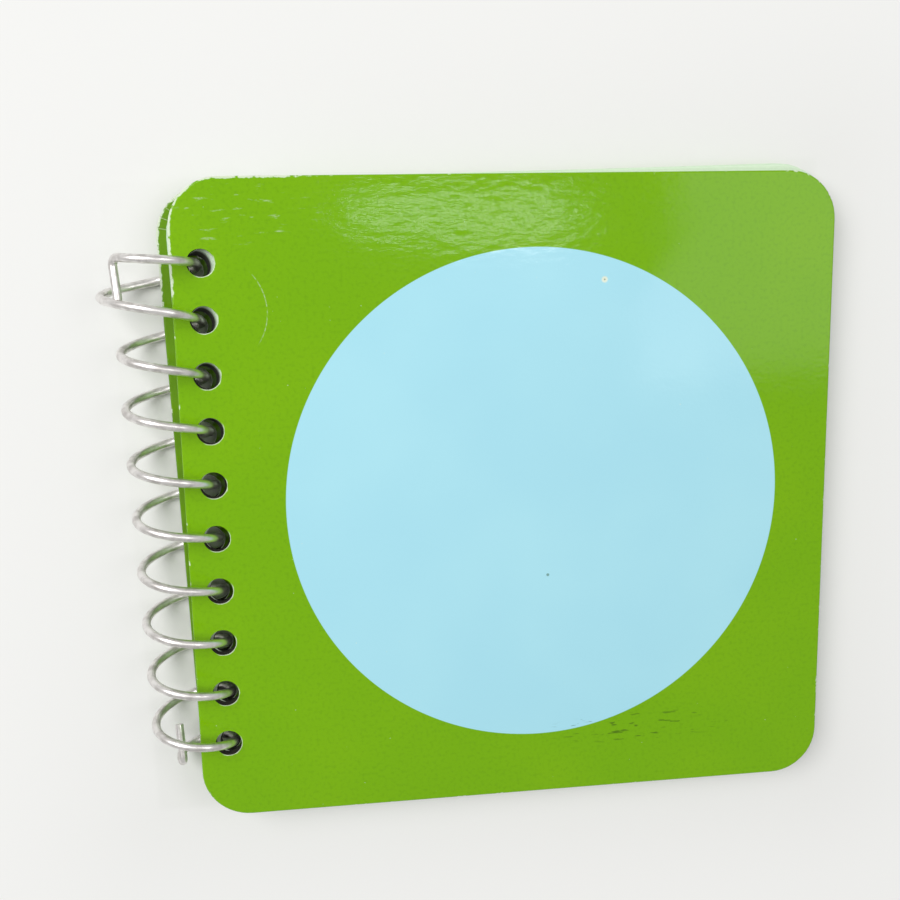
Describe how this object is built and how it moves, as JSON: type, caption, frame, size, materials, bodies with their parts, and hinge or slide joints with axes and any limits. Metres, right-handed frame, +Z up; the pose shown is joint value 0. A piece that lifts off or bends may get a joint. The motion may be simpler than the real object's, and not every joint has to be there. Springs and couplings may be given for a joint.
{
  "type": "spiral notebook",
  "caption": "Square spiral-bound notebook with rounded corners, lying shut on its back cover; both stiff covers open on the continuous wire.",
  "frame": {"origin": "on the surface it rests on, under the middle of the bounding box", "axes": "+X from the spine to the fore edge, +Y towards the head of the page, +Z up, out of the front cover"},
  "size_m": [0.1732, 0.155, 0.0204],
  "materials": {
    "cover_board": "glossy printed paper wrapped over board",
    "paper": "matt paper",
    "wire": "bright drawn wire"
  },
  "bodies": {
    "pages": {"page_block": "paper", "binding_coil": "wire"},
    "front_cover": {"front_cover": "cover_board"},
    "back_cover": {"back_cover": "cover_board"}
  },
  "joints": [
    {"name": "front_cover_hinge", "type": "hinge", "parent": "pages", "child": "front_cover", "pos_m": [-0.07307, 0, 0.01022], "axis": [0, -1, 0], "range_deg": [0, 180], "deforming": ["binding_coil"]},
    {"name": "back_cover_hinge", "type": "hinge", "parent": "pages", "child": "back_cover", "pos_m": [-0.07307, 0, 0.01022], "axis": [0, -1, 0], "range_deg": [-180, 0], "deforming": ["binding_coil"]}
  ]
}
